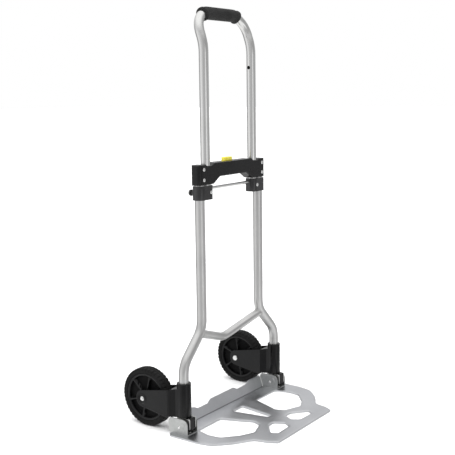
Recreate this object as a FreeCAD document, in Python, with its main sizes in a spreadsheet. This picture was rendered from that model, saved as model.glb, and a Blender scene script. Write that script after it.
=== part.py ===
import FreeCAD, Part
import math
import os
from FreeCAD import Placement, Rotation, Vector

# Folding luggage cart, millimetres. +Z up, +X to the cart's right, the toe plate points to -Y.
# The origin is the centre of the bounding box, on the floor.

SIZES = [
    ("leg_y", 19.0, "depth of the plane that holds the frame, the handle and the legs"),
    ("frame_half", 129.0, "centre plane to a frame tube's axis"),
    ("handle_half", 103.0, "centre plane to a handle tube's axis"),
    ("leg_half", 207.0, "centre plane to a leg's axis"),
    ("frame_od", 25.0, "frame tube outside diameter"),
    ("handle_od", 24.0, "handle tube outside diameter"),
    ("brace_od", 22.0, "brace tube outside diameter"),
    ("tube_wall", 1.5, "wall of all tubes"),
    ("frame_top", 663.0, "upper end of the frame tubes"),
    ("jog_top", 254.0, "corner where the frame tube starts outwards"),
    ("jog_low", 175.0, "corner where it turns down again"),
    ("jog_radius", 60.0, "bend radius of the frame tube"),
    ("leg_end", 45.0, "lower end of the leg tube"),
    ("handle_low", 585.0, "lower end of the handle tube"),
    ("handle_bend", 943.0, "height where the handle starts to lean back"),
    ("handle_lean", 18.6, "lean of the handle's top, degrees"),
    ("lean_radius", 120.0, "bend radius of that lean"),
    ("handle_rise", 102.0, "tube length from the lean to the top bar's axis"),
    ("handle_corner", 51.0, "corner radius of the handle"),
    ("grip_od", 32.0, "grip outside diameter"),
    ("grip_rim_od", 35.0, "rim at each end of the grip"),
    ("bar_low", 619.0, "underside of the crossbar's ends"),
    ("bar_arch", 636.0, "underside of the crossbar's middle"),
    ("bar_top", 672.0, "top of the crossbar's middle"),
    ("bar_front", 15.0, "frame plane to the crossbar's front face"),
    ("bar_rear", 16.5, "frame plane to the crossbar's rear face"),
    ("bar_end", 17.0, "frame tube's axis to the crossbar's end"),
    ("block_low", 582.0, "underside of the slider blocks"),
    ("block_high", 35.0, "height of the slider blocks"),
    ("block_radius", 16.8, "outer radius of the slider blocks"),
    ("pin_height", 651.0, "height of the lock pins"),
    ("slide_travel", 258.0, "distance between the two lock holes of the handle"),
    ("hinge_back", -9.0, "hinge axis from the leg plane"),
    ("hinge_high", 28.0, "height of the hinge axis"),
    ("pin_radius", 4.0, "hinge pin radius"),
    ("sleeve_low", 45.5, "lower end of the bracket's sleeve"),
    ("sleeve_top", 132.0, "upper end of the bracket's sleeve"),
    ("sleeve_od", 35.6, "bracket sleeve outside diameter"),
    ("hub_back", 116.0, "leg axis to the axle"),
    ("wheel_radius", 76.0, "tyre outside radius"),
    ("rim_radius", 62.0, "wheel rim outside radius"),
    ("tyre_width", 30.0, "width of the tyre"),
    ("fork_inner", 21.0, "wheel's middle plane to a cheek's inner face"),
    ("cheek", 5.0, "thickness of a fork cheek"),
    ("axle_radius", 5.0, "axle radius"),
    ("bush_radius", 8.0, "outside radius of the wheel bush"),
    ("plate_half", 244.0, "half width of the toe plate"),
    ("plate_reach", 230.0, "leg plane to the toe plate's front edge"),
    ("plate_top", 4.0, "upper face of the toe plate"),
    ("plate_skin", 2.0, "sheet thickness of the toe plate"),
    ("plate_rim", 2.4, "width of the turned-down rim round each edge"),
    ("flange_half", 184.0, "half width of the toe plate's rear flange"),
    ("flange_top", 37.0, "top of the rear flange"),
    ("flange_dip", 8.0, "depth of the two dips in its top edge"),
    ("flange_back", 28.0, "leg plane to the flange's foot"),
    ("flange_lean", 11.0, "how far the flange leans back"),
    ("flange_skin", 2.2, "depth of the flange's wall"),
    ("play", 0.05, "radial clearance of a pin or shaft"),
    ("slide_play", 0.10, "radial clearance of a sliding tube"),
]

doc = FreeCAD.newDocument("FoldingCart")
sheet = doc.addObject("Spreadsheet::Sheet", "Sizes")
for row, (alias, value, meaning) in enumerate(SIZES, start=1):
    sheet.set("A%d" % row, meaning)
    sheet.set("B%d" % row, str(value))
    sheet.setAlias("B%d" % row, alias)
doc.recompute()

NODES = []
SIDES = (("left", -1), ("right", 1))


def size(alias):
    return float(sheet.get(alias))


LEG_Y = size("leg_y")
HINGE = Vector(0, LEG_Y + size("hinge_back"), size("hinge_high"))
HUB_Y = LEG_Y + size("hub_back")
BAR_HALF = size("frame_half") + size("bar_end")
THROUGH = 200.0  # longer than any cut needs to be to go right through
CLEAR = 5.0  # distance from a part at which a cut starts


# ---------------------------------------------------------------- outlines

def outline(corners):
    """Closed outline through (u, v, radius) corners, each rounded by a tangent arc of its radius."""
    count = len(corners)
    rounded = []
    for index, (u, v, radius) in enumerate(corners):
        here = Vector(u, v, 0)
        before = Vector(*corners[index - 1][:2], 0)
        after = Vector(*corners[(index + 1) % count][:2], 0)
        back = (before - here).normalize()
        ahead = (after - here).normalize()
        half_angle = back.getAngle(ahead) / 2
        if radius == 0:
            rounded.append((here, here, here))
            continue
        reach = radius / math.tan(half_angle)
        centre = here + (back + ahead).normalize() * (radius / math.sin(half_angle))
        middle = centre + (here - centre).normalize() * radius
        rounded.append((here + back * reach, middle, here + ahead * reach))
    curves = []
    for index, (start, middle, end) in enumerate(rounded):
        if start.distanceToPoint(end) > 1e-6:
            curves.append(Part.Arc(start, middle, end))
        following = rounded[(index + 1) % count][0]
        if end.distanceToPoint(following) > 1e-6:
            curves.append(Part.LineSegment(end, following))
    return curves


def circle(u, v, radius):
    return [Part.Circle(Vector(u, v, 0), Vector(0, 0, 1), radius)]


def box_outline(low_u, high_u, low_v, high_v, radius=0.0):
    return outline([(low_u, low_v, radius), (high_u, low_v, radius),
                    (high_u, high_v, radius), (low_u, high_v, radius)])


def mirrored(corners, side):
    return [(side * u, v, radius) for u, v, radius in corners]


def both_halves(corners):
    """A symmetric outline from the corners of its +X half."""
    return corners + [(-u, v, radius) for u, v, radius in reversed(corners)]


# ---------------------------------------------------------------- features

def new_body(label, placement=None):
    body = doc.addObject("PartDesign::Body", "Body_" + label)
    body.Label = label
    if placement is not None:
        body.Placement = placement
    NODES.append(body)
    return body


def sketch_on(body, role, curves, offset=0.0):
    """Sketch on one of the body's origin planes; offset runs along the plane's normal."""
    sketch = body.newObject("Sketcher::SketchObject", "Sketch")
    plane = [item for item in body.Origin.OriginFeatures if item.Role == role][0]
    sketch.AttachmentSupport = (plane, [""])
    sketch.MapMode = "FlatFace"
    sketch.AttachmentOffset = Placement(Vector(0, 0, offset), Rotation())
    sketch.addGeometry(curves, False)
    return sketch


def pad(body, role, curves, length, offset=0.0, midplane=False, backwards=False):
    feature = body.newObject("PartDesign::Pad", "Pad")
    feature.Profile = sketch_on(body, role, curves, offset)
    if isinstance(length, str):
        feature.setExpression("Length", length)
    else:
        feature.Length = length
    feature.Midplane = midplane
    feature.Reversed = backwards
    doc.recompute()
    return feature


def pocket(body, role, curves, length, offset=0.0, midplane=False, backwards=False):
    """Cut from the sketch against its normal, or along it when backwards, and check that it cut."""
    before = body.Shape.Volume
    feature = body.newObject("PartDesign::Pocket", "Pocket")
    feature.Profile = sketch_on(body, role, curves, offset)
    if isinstance(length, str):
        feature.setExpression("Length", length)
    else:
        feature.Length = length
    feature.Midplane = midplane
    feature.Reversed = backwards
    doc.recompute()
    if not body.Shape.Volume < before - 1e-3:
        raise RuntimeError("pocket cuts nothing in " + body.Label)
    return feature


def round_edges(body, radius, distance):
    """Fillet the edges whose vertices all lie at no distance from a plane."""
    base = body.Tip
    names = ["Edge%d" % (index + 1) for index, edge in enumerate(body.Shape.Edges)
             if all(distance(vertex.Point) < 1e-4 for vertex in edge.Vertexes)]
    fillet = body.newObject("PartDesign::Fillet", "Fillet")
    fillet.Base = (base, names)
    fillet.Radius = radius
    doc.recompute()


def turned(label, profile, placement):
    """Body turned about its own Z axis from an outline in the XZ plane."""
    body = new_body(label, placement)
    feature = body.newObject("PartDesign::Revolution", "Revolution")
    feature.Profile = sketch_on(body, "XZ_Plane", profile)
    feature.ReferenceAxis = (feature.Profile[0], ["V_Axis"])
    feature.Angle = 360
    doc.recompute()
    return body


def shape_node(label, shape):
    feature = doc.addObject("Part::Feature", "Shape_" + label)
    feature.Label = label
    feature.Shape = shape
    feature.Placement = Placement()
    NODES.append(feature)
    return feature


def along_x(x, y, z, side=1):
    """Placement whose local Z axis points along +X, or -X for side -1."""
    return Placement(Vector(x, y, z), Rotation(Vector(0, 1, 0), 90 * side))


def along_y(x, y, z):
    """Placement whose local Z axis points along +Y."""
    return Placement(Vector(x, y, z), Rotation(Vector(1, 0, 0), -90))


def cylinder(radius, length, start, direction):
    return Part.makeCylinder(radius, length, start, direction)


# ---------------------------------------------------------------- tubes

def bent_path(points, radii):
    """Wire of straight runs joined by tangent arcs; radii belong to the inner points."""
    edges = []
    start = points[0]
    for index, radius in enumerate(radii, start=1):
        corner = points[index]
        back = (points[index - 1] - corner).normalize()
        ahead = (points[index + 1] - corner).normalize()
        half_angle = back.getAngle(ahead) / 2
        reach = radius / math.tan(half_angle)
        centre = corner + (back + ahead).normalize() * (radius / math.sin(half_angle))
        middle = centre + (corner - centre).normalize() * radius
        enter = corner + back * reach
        leave = corner + ahead * reach
        if start.distanceToPoint(enter) > 1e-6:
            edges.append(Part.LineSegment(start, enter).toShape())
        edges.append(Part.Arc(enter, middle, leave).toShape())
        start = leave
    edges.append(Part.LineSegment(start, points[-1]).toShape())
    return Part.Wire(edges)


def sweep_object(name, spine, radius_formula):
    """Part::Sweep of a circle along a spine; the circle's radius is bound to the sheet."""
    ring = doc.addObject("Part::Circle", name + "_ring")
    ring.setExpression("Radius", radius_formula)
    first = spine.Shape.Edges[0]
    start = first.valueAt(first.FirstParameter)
    if spine.Shape.OrderedVertexes[0].Point.distanceToPoint(start) > 1e-6:
        start = first.valueAt(first.LastParameter)
    heading = first.tangentAt(first.FirstParameter)
    ring.Placement = Placement(start, Rotation(Vector(0, 0, 1), heading))
    sweep = doc.addObject("Part::Sweep", name)
    sweep.Sections = [ring]
    sweep.Spine = (spine, ["Edge%d" % (i + 1) for i in range(len(spine.Shape.Edges))])
    sweep.Solid = True
    sweep.Frenet = False
    doc.recompute()
    return sweep


def tube(label, wire, diameter_alias, holes=()):
    """Hollow bent tube, cut by the given hole shapes."""
    spine = doc.addObject("Part::Feature", label + "_path")
    spine.Shape = wire
    outer = sweep_object(label + "_outer", spine, "Sizes.%s / 2" % diameter_alias)
    inner = sweep_object(label + "_inner", spine, "Sizes.%s / 2 - Sizes.tube_wall" % diameter_alias)
    hollow = doc.addObject("Part::Cut", label + "_hollow")
    hollow.Base = outer
    hollow.Tool = inner
    doc.recompute()
    last = hollow
    for index, hole in enumerate(holes):
        tool = doc.addObject("Part::Feature", "%s_hole%d" % (label, index))
        tool.Shape = hole
        cut = doc.addObject("Part::Cut", "%s_cut%d" % (label, index))
        cut.Base = last
        cut.Tool = tool
        last = cut
    doc.recompute()
    last.Label = label
    NODES.append(last)
    return last


SCREW_RADIUS = 2.4
SCREW_HOLE = 2.5
SCREW_BITE = 12.0
SCREW_HEAD = 4.4
SCREW_DOME = 2.2
BAR_SCREW_HEIGHTS = (632.0, 658.0)
BLOCK_SCREW_HEIGHT = 600.0


def frame_path(side):
    top = size("frame_top")
    inner = side * size("frame_half")
    outer = side * size("leg_half")
    points = [Vector(inner, LEG_Y, top), Vector(inner, LEG_Y, size("jog_top")),
              Vector(outer, LEG_Y, size("jog_low")), Vector(outer, LEG_Y, size("leg_end"))]
    return bent_path(points, [size("jog_radius")] * 2)


def screw_hole(x, z):
    return cylinder(SCREW_HOLE, THROUGH, Vector(x, LEG_Y - THROUGH / 2, z), Vector(0, 1, 0))


def frame_tube(name, side):
    holes = [screw_hole(side * size("frame_half"), z) for z in BAR_SCREW_HEIGHTS]
    tube("frame_tube_" + name, frame_path(side), "frame_od", holes)


def frame_brace():
    """V-shaped tube welded between the frame tubes, bowed back and down, mitred round the tubes."""
    end_x, end_z = 140.0, 243.0
    bow_back, bow_z = 29.0, 196.0
    bow_radius = 45.0
    points = [Vector(-end_x, LEG_Y, end_z), Vector(0, LEG_Y + bow_back, bow_z),
              Vector(end_x, LEG_Y, end_z)]
    wire = bent_path(points, [bow_radius])
    spine = doc.addObject("Part::Feature", "brace_path")
    spine.Shape = wire
    outer = sweep_object("brace_outer", spine, "Sizes.brace_od / 2")
    inner = sweep_object("brace_inner", spine, "Sizes.brace_od / 2 - Sizes.tube_wall")
    shape = outer.Shape.cut(inner.Shape)
    for _, side in SIDES:
        path = doc.addObject("Part::Feature", "brace_mitre_path")
        path.Shape = frame_path(side)
        mitre = sweep_object("brace_mitre", path, "Sizes.frame_od / 2")
        shape = shape.cut(mitre.Shape)
    middle = [solid for solid in shape.Solids if abs(solid.CenterOfMass.x) < end_x / 2]
    shape_node("frame_brace", max(middle, key=lambda solid: solid.Volume))


def handle_points():
    lean = math.radians(size("handle_lean"))
    half = size("handle_half")
    bend = size("handle_bend")
    corner_z = bend + size("lean_radius") * math.tan(lean / 2)
    run = size("handle_rise") - size("lean_radius") * lean + size("lean_radius") * math.tan(lean / 2)
    top = Vector(0, LEG_Y + run * math.sin(lean), corner_z + run * math.cos(lean))
    low = Vector(0, LEG_Y, size("handle_low"))
    elbow = Vector(0, LEG_Y, corner_z)
    left = Vector(-half, 0, 0)
    right = Vector(half, 0, 0)
    return [low + left, elbow + left, top + left, top + right, elbow + right, low + right]


def handle_tube():
    """U-shaped tube with a lock hole for each handle height in the inner wall of each leg."""
    lock_hole_radius = 4.6
    holes = [screw_hole(side * size("handle_half"), BLOCK_SCREW_HEIGHT) for _, side in SIDES]
    for _, side in SIDES:
        inside = Vector(side * size("handle_half"), LEG_Y, 0)
        for z in (size("pin_height"), size("pin_height") + size("slide_travel")):
            holes.append(cylinder(lock_hole_radius, size("handle_od"), inside + Vector(0, 0, z),
                                  Vector(-side, 0, 0)))
    radii = [size("lean_radius"), size("handle_corner"), size("handle_corner"), size("lean_radius")]
    tube("handle_tube", bent_path(handle_points(), radii), "handle_od", holes)


def handle_grip():
    """Sleeve over the handle's top bar that runs a little way into both corners, with end rims."""
    points = handle_points()
    corner = size("handle_corner")
    half = size("handle_half")
    into_corner = math.radians(24)
    rim = 4.0
    left_top, right_top = points[2], points[3]
    down = (points[1] - left_top).normalize()
    straight = half - corner
    bar_left = left_top + Vector(corner, 0, 0)
    bar_right = right_top - Vector(corner, 0, 0)

    def on_corner(side, angle):
        centre = Vector(side * straight, left_top.y, left_top.z) + down * corner
        return centre + Vector(side * corner * math.sin(angle), 0, 0) - down * corner * math.cos(angle)

    def sleeve(angle, radius):
        edges = [Part.Arc(on_corner(-1, angle), on_corner(-1, angle / 2), bar_left).toShape(),
                 Part.LineSegment(bar_left, bar_right).toShape(),
                 Part.Arc(bar_right, on_corner(1, angle / 2), on_corner(1, angle)).toShape()]
        path = Part.Wire(edges)
        heading = edges[0].tangentAt(edges[0].FirstParameter)
        ring = Part.Wire(Part.Circle(on_corner(-1, angle), heading, radius).toShape())
        return path.makePipeShell([ring], True, False)

    bore = sleeve(into_corner + math.radians(2), size("handle_od") / 2)
    body = sleeve(into_corner, size("grip_od") / 2)
    rims = sleeve(into_corner, size("grip_rim_od") / 2)
    inner_rims = sleeve(into_corner - rim / corner, size("grip_rim_od") / 2 + 1)
    shape = body.fuse(rims.cut(inner_rims)).cut(bore).removeSplitter()
    shape_node("handle_grip", max(shape.Solids, key=lambda solid: solid.Volume))


# ---------------------------------------------------------------- crossbar and its lock

CAVITY_HALF = 60.0
CAVITY_LOW = 640.5
CAVITY_TOP = 663.0
BUTTON_HALF = 17.0
BUTTON_FRONT = 3.0
BUTTON_DEPTH = 11.0
BUTTON_TRAVEL = 6.0
SLOT_GAP = 0.4
CHANNEL_HALF = 4.1


def crossbar_profile():
    """Front view of the crossbar: raised middle, domes over the frame tubes, arched underside."""
    low, arch, top = size("bar_low"), size("bar_arch"), size("bar_top")
    dip = top - 6.0
    dome = top - 2.5
    half = [(60, arch, 20), (87, low, 12), (BAR_HALF, low, 3), (BAR_HALF, dome, 6),
            (BAR_HALF - 28, dome, 6), (BAR_HALF - 34, dip, 4), (94, dip, 8), (80, top, 8)]
    return outline(both_halves(half))


def end_corner(side, face_y):
    """Plan view of what is cut away to round one upright corner of the crossbar."""
    radius, beyond = 12.0, 2.0
    across = math.copysign(1, face_y)
    centre = Vector(side * (BAR_HALF - radius), face_y - across * radius, 0)
    end_x = side * (BAR_HALF + beyond)
    far_y = face_y + across * beyond
    on_end = Vector(side * BAR_HALF, centre.y, 0)
    on_face = Vector(centre.x, face_y, 0)
    middle = centre + Vector(side, across, 0).normalize() * radius
    corners = [on_face, Vector(centre.x, far_y, 0), Vector(end_x, far_y, 0), Vector(end_x, centre.y, 0), on_end]
    return [Part.LineSegment(a, b) for a, b in zip(corners, corners[1:])] + [Part.Arc(on_end, middle, on_face)]


def crossbar_shell(label, front):
    """One moulded half of the crossbar, split on the frame plane."""
    depth = "Sizes.bar_front" if front else "Sizes.bar_rear"
    body = new_body(label, Placement(Vector(0, LEG_Y, 0), Rotation()))
    # The XZ plane's normal is -Y, so a plain pad grows to the front.
    pad(body, "XZ_Plane", crossbar_profile(), depth, backwards=not front)
    outer_y = -size("bar_front") if front else size("bar_rear")
    round_edges(body, 3.5, lambda point: abs(point.y - LEG_Y - outer_y))
    for _, side in SIDES:
        pocket(body, "XY_Plane", end_corner(side, outer_y), THROUGH, offset=size("bar_top") + CLEAR)
    wall = 4.0
    cavity = box_outline(-CAVITY_HALF, CAVITY_HALF, CAVITY_LOW, CAVITY_TOP, 3)
    pocket(body, "XZ_Plane", cavity, abs(outer_y) - wall, backwards=front)
    for _, side in SIDES:
        x = side * size("frame_half")
        pocket(body, "XY_Plane", circle(x, 0, size("frame_od") / 2), "Sizes.frame_top - Sizes.bar_low",
               offset=size("frame_top"))
        x = side * size("handle_half")
        pocket(body, "XY_Plane", circle(x, 0, size("handle_od") / 2 + size("slide_play")), THROUGH,
               offset=size("bar_top") + CLEAR)
        channel = box_outline(min(x, side * (CAVITY_HALF - 2)), max(x, side * (CAVITY_HALF - 2)),
                              -CHANNEL_HALF, CHANNEL_HALF)
        pocket(body, "XY_Plane", channel, 2 * CHANNEL_HALF, offset=size("pin_height") + CHANNEL_HALF)
        for z in BAR_SCREW_HEIGHTS:
            hole = circle(side * size("frame_half"), z, SCREW_HOLE)
            pocket(body, "XZ_Plane", hole, THROUGH if front else SCREW_BITE + 0.5, backwards=front)
    if not front:
        slot = box_outline(-BUTTON_HALF - SLOT_GAP, BUTTON_HALF + SLOT_GAP, BUTTON_FRONT - SLOT_GAP,
                           BUTTON_FRONT + BUTTON_DEPTH + SLOT_GAP, 1.5)
        slot_low = CAVITY_TOP - BUTTON_TRAVEL - 3
        pocket(body, "XY_Plane", slot, size("bar_top") + CLEAR - slot_low, offset=size("bar_top") + CLEAR)
    return body


def fastener(shank_length):
    """Half section of a round-headed screw: the head lies below the origin, the shank above it."""
    flat = 0.6
    return outline([(0, -SCREW_DOME, 0), (SCREW_HEAD * flat, -SCREW_DOME, 0),
                    (SCREW_HEAD, -SCREW_DOME * (1 - flat), 0), (SCREW_HEAD, 0, 0),
                    (SCREW_RADIUS, 0, 0), (SCREW_RADIUS, shank_length, 0), (0, shank_length, 0)])


def fastener_solid(place, shank_length):
    edges = [curve.toShape() for curve in fastener(shank_length)]
    face = Part.Face(Part.Wire(edges))
    face.rotate(Vector(0, 0, 0), Vector(1, 0, 0), 90)
    solid = face.revolve(Vector(0, 0, 0), Vector(0, 0, 1), 360)
    solid.Placement = place
    return solid


def crossbar_screws():
    """Four screws that clamp the two halves on the frame tubes."""
    solids = []
    for _, side in SIDES:
        for z in BAR_SCREW_HEIGHTS:
            place = along_y(side * size("frame_half"), LEG_Y - size("bar_front"), z)
            solids.append(fastener_solid(place, size("bar_front") + SCREW_BITE))
    shape_node("crossbar_screws", Part.makeCompound(solids))


SLOT_REST = 16.0
PEG_RADIUS = 2.0


def release_button():
    """Push button with a slotted plate below it: its slanted slots draw the lock pins in."""
    body = new_body("release_button", Placement(Vector(0, LEG_Y, 0), Rotation()))
    plate_low = size("pin_height") - 4.0
    plate_top = CAVITY_TOP - 1.0
    button_top = size("bar_top") + 9.0
    plate = box_outline(-21.5, 21.5, plate_low, plate_top, 2)
    pad(body, "XZ_Plane", plate, 4.0, offset=-BUTTON_FRONT - 5)
    head = box_outline(-BUTTON_HALF, BUTTON_HALF, BUTTON_FRONT, BUTTON_FRONT + BUTTON_DEPTH, 1.5)
    pad(body, "XY_Plane", head, button_top - plate_top + 1, offset=plate_top - 1)
    round_edges(body, 1.2, lambda point: abs(point.z - button_top))
    for _, side in SIDES:
        z = size("pin_height")
        gap = PEG_RADIUS + 0.3
        start = Vector(side * SLOT_REST, z, 0)
        end = Vector(side * (SLOT_REST - BUTTON_TRAVEL), z + BUTTON_TRAVEL, 0)
        across = Vector(-(end - start).y, (end - start).x, 0).normalize() * gap
        along = (end - start).normalize() * gap
        slot = [Part.LineSegment(start + across, end + across),
                Part.Arc(end + across, end + along, end - across),
                Part.LineSegment(end - across, start - across),
                Part.Arc(start - across, start - along, start + across)]
        pocket(body, "XZ_Plane", slot, THROUGH)
    return body


def helix_spring(wire_radius, coil_radius, height, turns):
    pitch = (height - 2 * wire_radius) / turns
    path = Part.makeHelix(pitch, pitch * turns, coil_radius)
    ring = Part.Wire(Part.Circle(Vector(coil_radius, 0, 0), Vector(0, 1, 0), wire_radius).toShape())
    return Part.Wire(path).makePipeShell([ring], True, True)


def button_springs():
    """Two small coil springs under the button's head."""
    spring_low = CAVITY_LOW + 0.4
    spring_top = CAVITY_TOP - 2.6
    wire_radius = 0.35
    solids = []
    for _, side in SIDES:
        coil = helix_spring(wire_radius, 1.6, spring_top - spring_low, 7)
        coil.translate(Vector(side * 9, LEG_Y + BUTTON_FRONT + 7.3, spring_low + wire_radius))
        solids.append(coil)
    shape_node("button_springs", Part.makeCompound(solids))


def lock_pin(name, side):
    """Round pin along X with a peg that rides in the button's slanted slot."""
    tip_gap = 0.3
    tip = size("handle_half") - size("handle_od") / 2 - tip_gap
    inner = SLOT_REST - 5
    place = along_x(side * inner, LEG_Y, size("pin_height"), side)
    body = new_body("lock_pin_" + name, place)
    pad(body, "XY_Plane", circle(0, 0, 4.0), tip - inner)
    peg_reach = BUTTON_FRONT + 8.0
    pad(body, "XZ_Plane", circle(0, SLOT_REST - inner, PEG_RADIUS), peg_reach, backwards=True)
    return body


# ---------------------------------------------------------------- slider blocks

def slider_block(name, side):
    """Clamped on the handle tube's foot, sliding on the frame tube."""
    body = new_body("slider_block_" + name, Placement(Vector(0, LEG_Y, size("block_low")), Rotation()))
    radius = size("block_radius")
    outer_x = size("frame_half") + radius
    inner_x = size("handle_half") - radius
    corners = [(inner_x, -radius, radius - 0.5), (outer_x, -radius, radius - 0.5),
               (outer_x, radius, radius - 0.5), (inner_x, radius, radius - 0.5)]
    pad(body, "XY_Plane", outline(mirrored(corners, side)), "Sizes.block_high")
    high = size("block_high")
    frame_bore = size("frame_od") / 2 + size("slide_play")
    pocket(body, "XY_Plane", circle(side * size("frame_half"), 0, frame_bore), THROUGH, offset=high + CLEAR)
    seat_depth = high - (size("handle_low") - size("block_low"))
    pocket(body, "XY_Plane", circle(side * size("handle_half"), 0, size("handle_od") / 2), seat_depth,
           offset=high)
    rod_z = ROD_HEIGHT - size("block_low")
    rod_hole = circle(0, rod_z, ROD_RADIUS)
    pocket(body, "YZ_Plane", rod_hole, size("handle_half") - inner_x + CLEAR,
           offset=side * (inner_x - CLEAR), backwards=side > 0)
    screw_z = BLOCK_SCREW_HEIGHT - size("block_low")
    pocket(body, "XZ_Plane", circle(side * size("handle_half"), screw_z, SCREW_HOLE), THROUGH,
           backwards=True)
    pocket(body, "XZ_Plane", circle(side * size("handle_half"), screw_z, SCREW_HOLE), SCREW_BITE + 1)
    return body


ROD_HEIGHT = 608.0
ROD_RADIUS = 4.0


def slider_rod():
    """Steel rod between the two slider blocks."""
    half = size("handle_half") - size("handle_od") / 2 - 0.5
    body = new_body("slider_rod", along_x(-half, LEG_Y, ROD_HEIGHT))
    pad(body, "XY_Plane", circle(0, 0, ROD_RADIUS), 2 * half)
    return body


def slider_screws():
    solids = []
    for _, side in SIDES:
        place = along_y(side * size("handle_half"), LEG_Y - size("block_radius"), BLOCK_SCREW_HEIGHT)
        solids.append(fastener_solid(place, size("block_radius") + SCREW_BITE))
    shape_node("slider_screws", Part.makeCompound(solids))


def cord_knob(name, side):
    """Mushroom-shaped peg behind each slider block, for a luggage cord."""
    height = 599.0
    neck, head, reach = 5.0, 8.2, 13.0
    profile = outline([(0, 0, 0), (neck, 0, 0), (neck, reach - 8, 1.5), (head, reach - 6, 1),
                       (head, reach, 2), (0, reach, 0)])
    turned("cord_knob_" + name, profile,
           along_y(side * size("frame_half"), LEG_Y + size("block_radius"), height))


# ---------------------------------------------------------------- hinge and wheel brackets

FOOT_HALF = 11.0
FOOT_SHEET = 2.0


def hinge_block(name, side):
    """Plastic foot in the leg's end, on the hinge axis."""
    body = new_body("hinge_block_" + name, Placement(Vector(side * size("leg_half"), LEG_Y, 0), Rotation()))
    top = size("leg_end")
    core = outline([(-24, 16, 3), (-16, 9.5, 5), (4, 9.5, 8), (14, 20, 6), (14, top, 0), (-24, top, 3)])
    pad(body, "YZ_Plane", core, 2 * FOOT_HALF, midplane=True)
    plug = 30.0
    pad(body, "XY_Plane", circle(0, 0, size("frame_od") / 2 - size("tube_wall")), plug, offset=top - 1)
    hole = circle(size("hinge_back"), size("hinge_high"), size("pin_radius") + size("play"))
    pocket(body, "YZ_Plane", hole, THROUGH, midplane=True)
    return body


def foot_plates(name, side):
    """Two steel plates that sandwich the plastic foot, square at the front."""
    top = size("leg_end")
    body = new_body("foot_plates_" + name, Placement(Vector(side * size("leg_half"), LEG_Y, 0), Rotation()))
    plate = outline([(-26, 18, 2), (10, 18, 3), (14, 24, 3), (14, top, 0), (-26, top, 2)])
    outer = FOOT_HALF + FOOT_SHEET
    hole = circle(size("hinge_back"), size("hinge_high"), size("pin_radius") + size("play"))
    pad(body, "YZ_Plane", plate, 2 * outer, midplane=True)
    pocket(body, "YZ_Plane", hole, THROUGH, midplane=True)
    pocket(body, "YZ_Plane", box_outline(-40, 40, 0, top + CLEAR), 2 * FOOT_HALF, midplane=True)
    return body


EAR_GAP = 18.4
EAR_SHEET = 2.0
RIVET_Y = (-15.0, 22.0)
RIVET_RADIUS = 2.5
LINK_Y, LINK_Z = 1.5, 21.3


def hinge_bracket(name, side):
    """U-shaped steel bracket on the toe plate: two ears with a round front on the hinge axis."""
    back = size("hinge_back")
    high = size("hinge_high")
    ear_radius = 15.5
    ear_rear = 35.0
    low = size("plate_top")
    body = new_body("hinge_bracket_" + name,
                    Placement(Vector(side * size("leg_half"), LEG_Y, 0), Rotation()))
    front = back - ear_radius
    top = high + ear_radius
    ear = outline([(front, low, 0), (ear_rear, low, 3), (ear_rear, top - 6, 3), (ear_rear - 6.5, top, 3),
                   (front, top, ear_radius)])
    width = 2 * (EAR_GAP + EAR_SHEET)
    pad(body, "YZ_Plane", ear, width, midplane=True)
    space = box_outline(-EAR_GAP, EAR_GAP, low + EAR_SHEET, top + CLEAR)
    pocket(body, "XZ_Plane", space, THROUGH, midplane=True)
    pocket(body, "YZ_Plane", circle(back, high, size("pin_radius")), THROUGH, midplane=True)
    pocket(body, "YZ_Plane", circle(LINK_Y, LINK_Z, RIVET_RADIUS), THROUGH, midplane=True)
    for y in RIVET_Y:
        pocket(body, "XY_Plane", circle(0, y, RIVET_RADIUS), low + EAR_SHEET + 1, offset=low + EAR_SHEET)
    return body


def hinge_pin(name, side):
    """Rivet through both ears and the hinge block."""
    reach = EAR_GAP + EAR_SHEET
    head, head_high = 6.5, 0.8
    rim = head - head_high
    profile = outline([(0, -reach - head_high, 0), (rim, -reach - head_high, 0), (head, -reach, 0),
                       (size("pin_radius"), -reach, 0), (size("pin_radius"), reach, 0), (head, reach, 0),
                       (rim, reach + head_high, 0), (0, reach + head_high, 0)])
    turned("hinge_pin_" + name, profile, along_x(side * size("leg_half"), HINGE.y, HINGE.z))


def bracket_rivets():
    """Rivets that hold the U-brackets on the toe plate, and a link rivet in each ear."""
    solids = []
    low = size("plate_top") - size("plate_skin")
    for _, side in SIDES:
        for y in RIVET_Y:
            start = Vector(side * size("leg_half"), LEG_Y + y, low)
            shank = cylinder(RIVET_RADIUS, size("plate_skin") + EAR_SHEET, start, Vector(0, 0, 1))
            head = Part.makeCone(4.5, 3.0, 1.4, start + Vector(0, 0, size("plate_skin") + EAR_SHEET))
            solids.append(shank.fuse(head).removeSplitter())
        for out in (-1, 1):
            outward = Vector(out, 0, 0)
            start = Vector(side * size("leg_half") + out * EAR_GAP, LEG_Y + LINK_Y, LINK_Z)
            shank = cylinder(RIVET_RADIUS, EAR_SHEET, start, outward)
            head = Part.makeCone(4.0, 2.6, 1.8, start + outward * EAR_SHEET, outward)
            solids.append(shank.fuse(head).removeSplitter())
    shape_node("bracket_rivets", Part.makeCompound(solids))


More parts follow.
